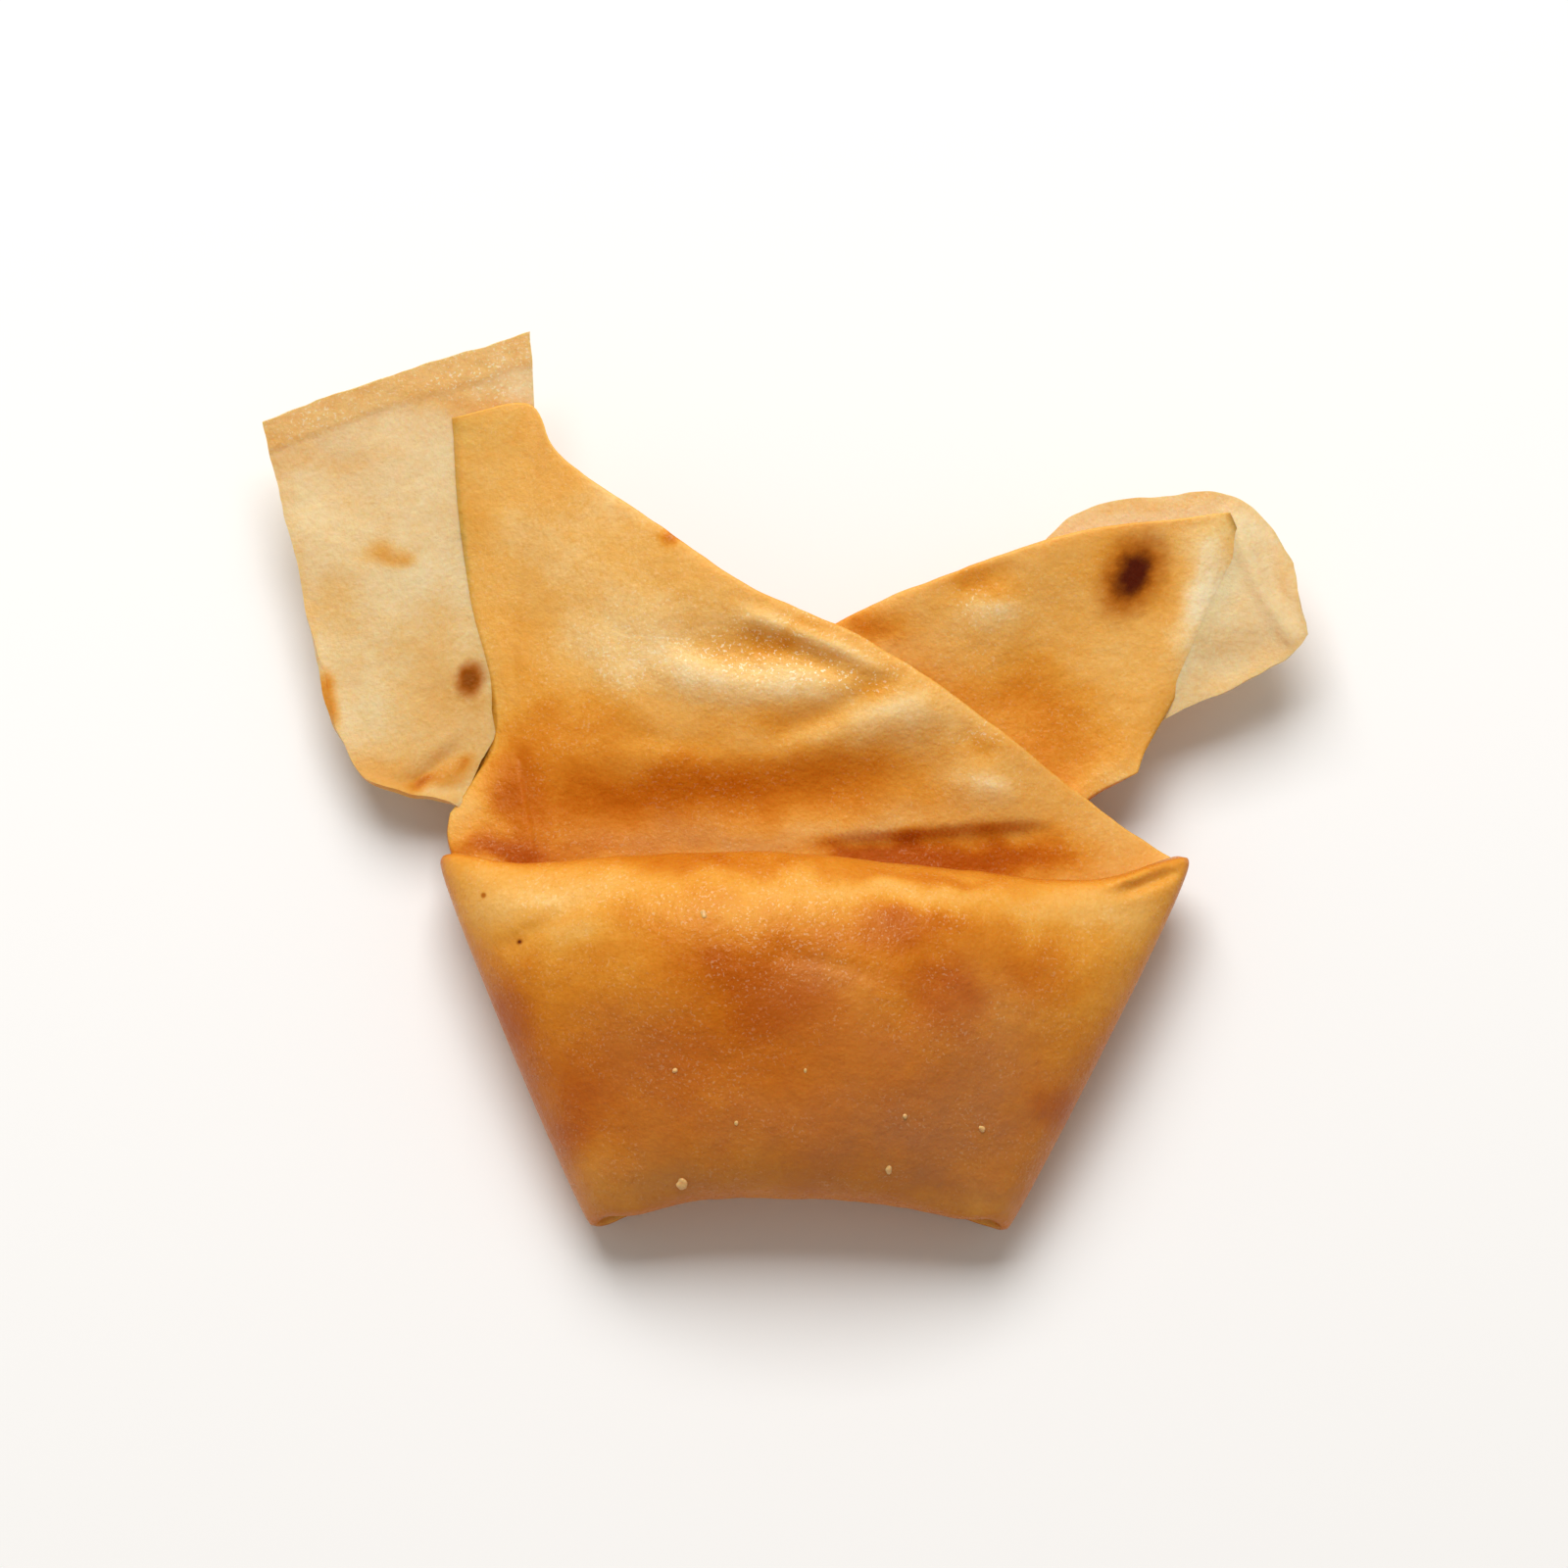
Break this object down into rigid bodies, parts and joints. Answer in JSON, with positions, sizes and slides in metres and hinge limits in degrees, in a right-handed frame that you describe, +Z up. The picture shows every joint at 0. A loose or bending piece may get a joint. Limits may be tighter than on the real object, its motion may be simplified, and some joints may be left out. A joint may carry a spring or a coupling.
{
  "type": "fried wonton",
  "caption": "Fried wonton: a rolled wrapper folded under at each side of a plump filled pocket, its flat ends crossed behind it and spread as thin crisp wings.",
  "frame": {"origin": "middle of the footprint, at the surface that the wonton rests on", "axes": "+X along the pocket's rim towards the right wing, +Y from the pocket's foot towards the wings, +Z up"},
  "size_m": [0.0924, 0.0792, 0.0204],
  "materials": {
    "fried_skin": "crisp golden fried dough, slightly oily"
  },
  "bodies": {
    "root": {"fried_wonton": "fried_skin"}
  },
  "joints": []
}
